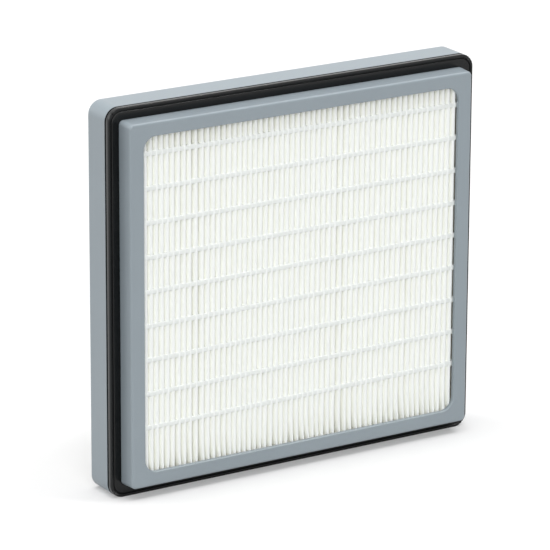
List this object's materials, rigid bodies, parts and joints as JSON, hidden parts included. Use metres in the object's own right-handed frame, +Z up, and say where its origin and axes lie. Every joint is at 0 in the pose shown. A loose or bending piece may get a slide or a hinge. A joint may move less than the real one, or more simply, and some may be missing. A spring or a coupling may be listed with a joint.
{
  "type": "hepa filter panel",
  "caption": "Rectangular panel air filter: a white pleated pack with glue lines, potted into a stepped grey plastic frame with a black sealing gasket on its flange.",
  "frame": {"origin": "On the floor under the middle of the panel: the centre of the bottom of its box.", "axes": "+X along the width, +Y through the depth from the front opening to the back, +Z up the height. The front opening faces -Y."},
  "size_m": [0.305, 0.042, 0.287],
  "materials": {
    "frame_plastic": "moulded, fine satin grain",
    "gasket_rubber": "smooth, slightly glossy",
    "potting_sealant": "cast, satin",
    "filter_paper": "matt glass-fibre paper",
    "hot_melt_glue": "satin, slightly milky"
  },
  "bodies": {
    "root": {"moulded_frame": "frame_plastic", "sealing_gasket": "gasket_rubber", "potting_ring": "potting_sealant", "pleated_media": "filter_paper", "front_glue_bead_1": "hot_melt_glue", "front_glue_bead_2": "hot_melt_glue", "front_glue_bead_3": "hot_melt_glue", "front_glue_bead_4": "hot_melt_glue", "front_glue_bead_5": "hot_melt_glue", "front_glue_bead_6": "hot_melt_glue", "front_glue_bead_7": "hot_melt_glue", "front_glue_bead_8": "hot_melt_glue", "front_glue_bead_9": "hot_melt_glue", "rear_glue_bead_1": "hot_melt_glue", "rear_glue_bead_2": "hot_melt_glue", "rear_glue_bead_3": "hot_melt_glue", "rear_glue_bead_4": "hot_melt_glue", "rear_glue_bead_5": "hot_melt_glue", "rear_glue_bead_6": "hot_melt_glue", "rear_glue_bead_7": "hot_melt_glue", "rear_glue_bead_8": "hot_melt_glue", "rear_glue_bead_9": "hot_melt_glue"}
  },
  "joints": []
}
